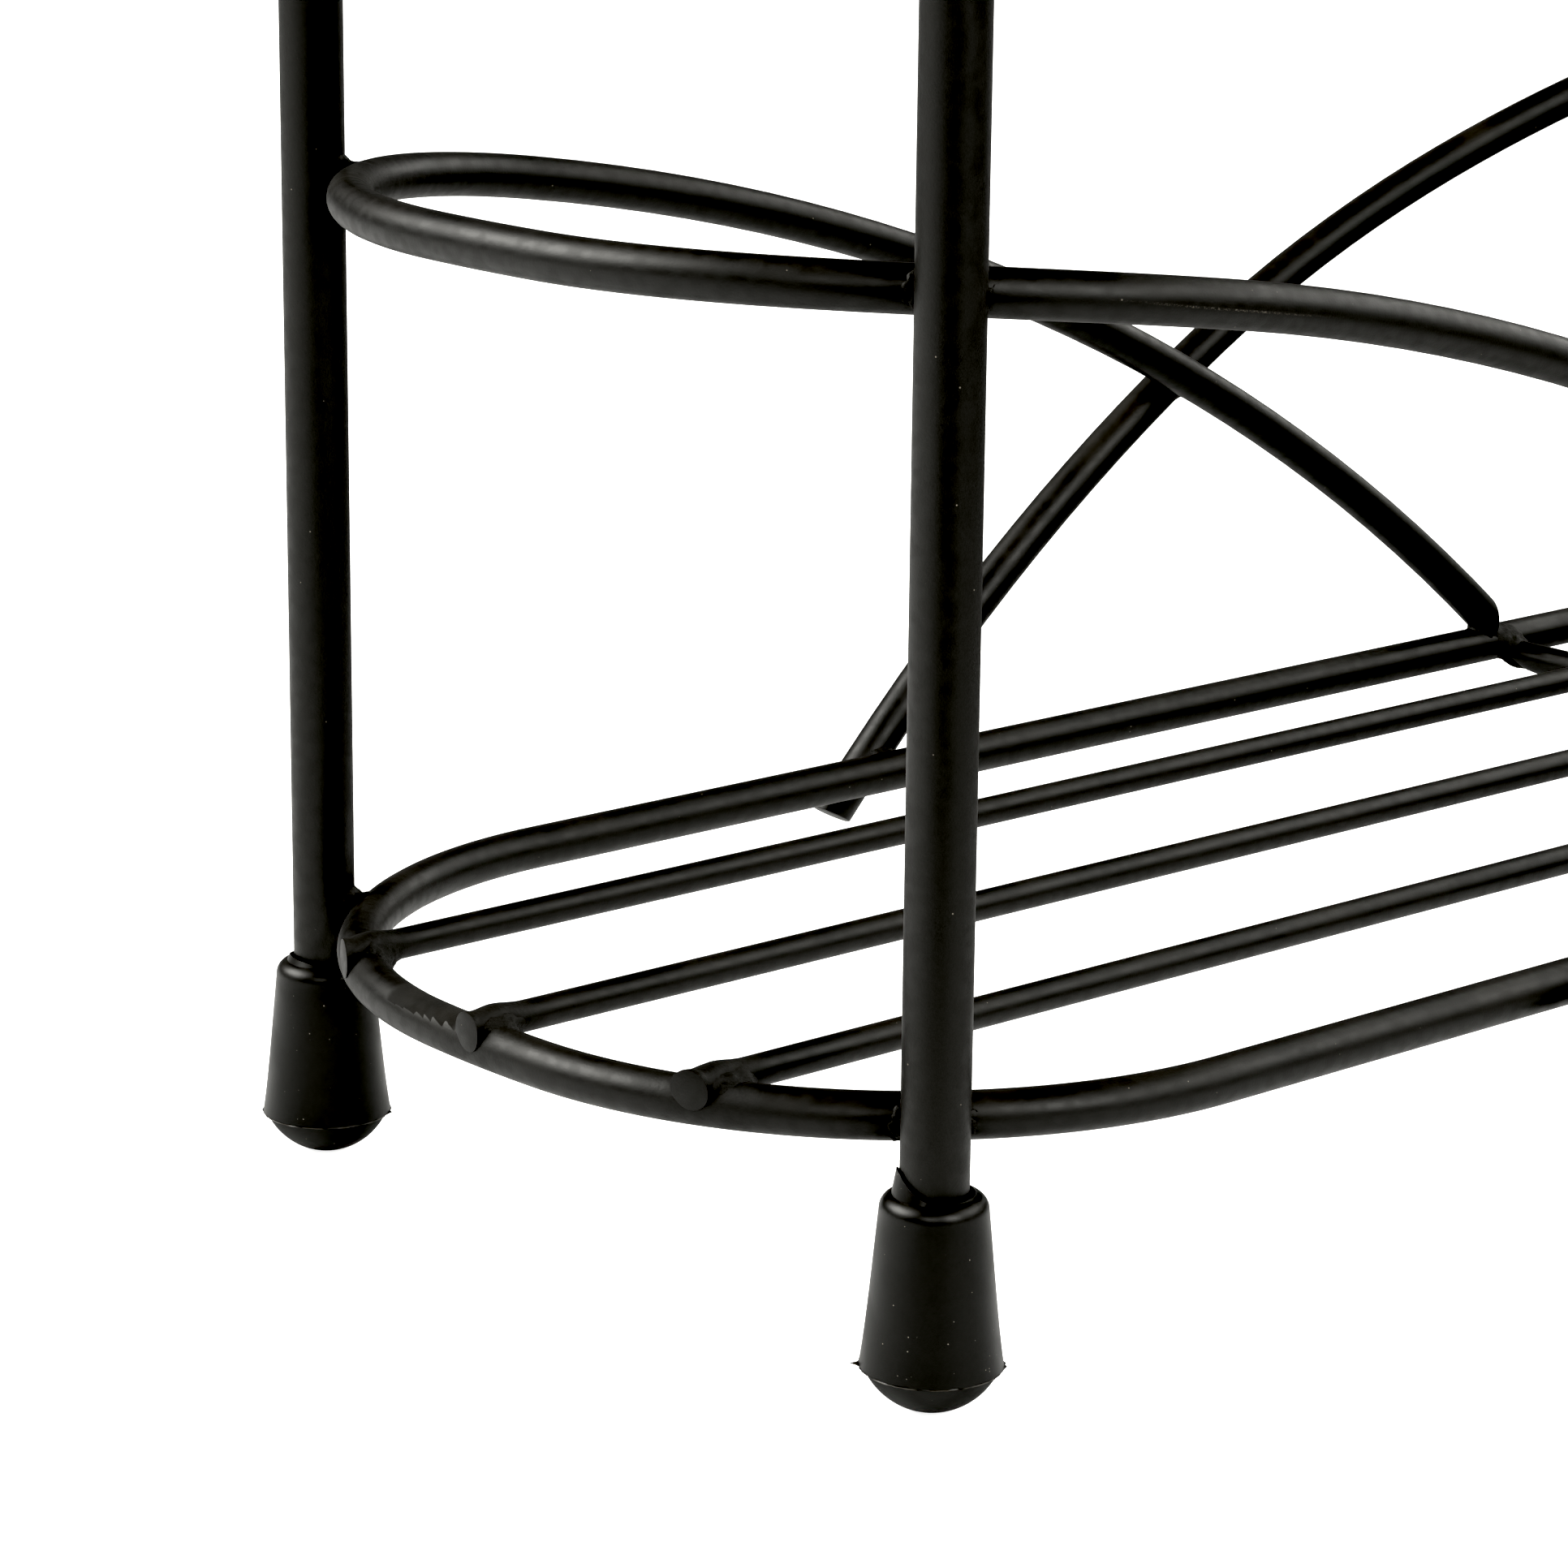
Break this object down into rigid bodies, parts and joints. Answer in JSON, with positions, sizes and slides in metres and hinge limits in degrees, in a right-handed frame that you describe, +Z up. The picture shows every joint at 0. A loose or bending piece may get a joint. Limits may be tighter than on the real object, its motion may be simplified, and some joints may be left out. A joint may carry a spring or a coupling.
{
  "type": "tiered wire spice rack",
  "caption": "Free-standing welded wire spice rack with tiered oval shelves, crossing arc guards, arched end frames and push-on rubber feet.",
  "frame": {"origin": "on the floor under the middle of the rack", "axes": "+Z up, +X along the rack towards its right end, -Y towards the front"},
  "size_m": [0.2692, 0.1106, 0.397],
  "materials": {
    "powder_coat": "satin black powder coat with a fine grain",
    "foot_rubber": "smooth moulded black rubber, slightly glossy"
  },
  "bodies": {
    "root": {"bottom_shelf_ring": "powder_coat", "bottom_front_slat": "powder_coat", "bottom_centre_slat": "powder_coat", "bottom_back_slat": "powder_coat", "bottom_crossbar": "powder_coat", "bottom_left_guard": "powder_coat", "bottom_right_guard": "powder_coat", "middle_shelf_ring": "powder_coat", "middle_front_slat": "powder_coat", "middle_centre_slat": "powder_coat", "middle_back_slat": "powder_coat", "middle_crossbar": "powder_coat", "middle_left_guard": "powder_coat", "middle_right_guard": "powder_coat", "top_shelf_ring": "powder_coat", "top_front_slat": "powder_coat", "top_centre_slat": "powder_coat", "top_back_slat": "powder_coat", "top_crossbar": "powder_coat", "top_left_guard": "powder_coat", "top_right_guard": "powder_coat", "left_end_frame": "powder_coat", "right_end_frame": "powder_coat", "left_front_foot": "foot_rubber", "left_back_foot": "foot_rubber", "right_front_foot": "foot_rubber", "right_back_foot": "foot_rubber"}
  },
  "joints": []
}
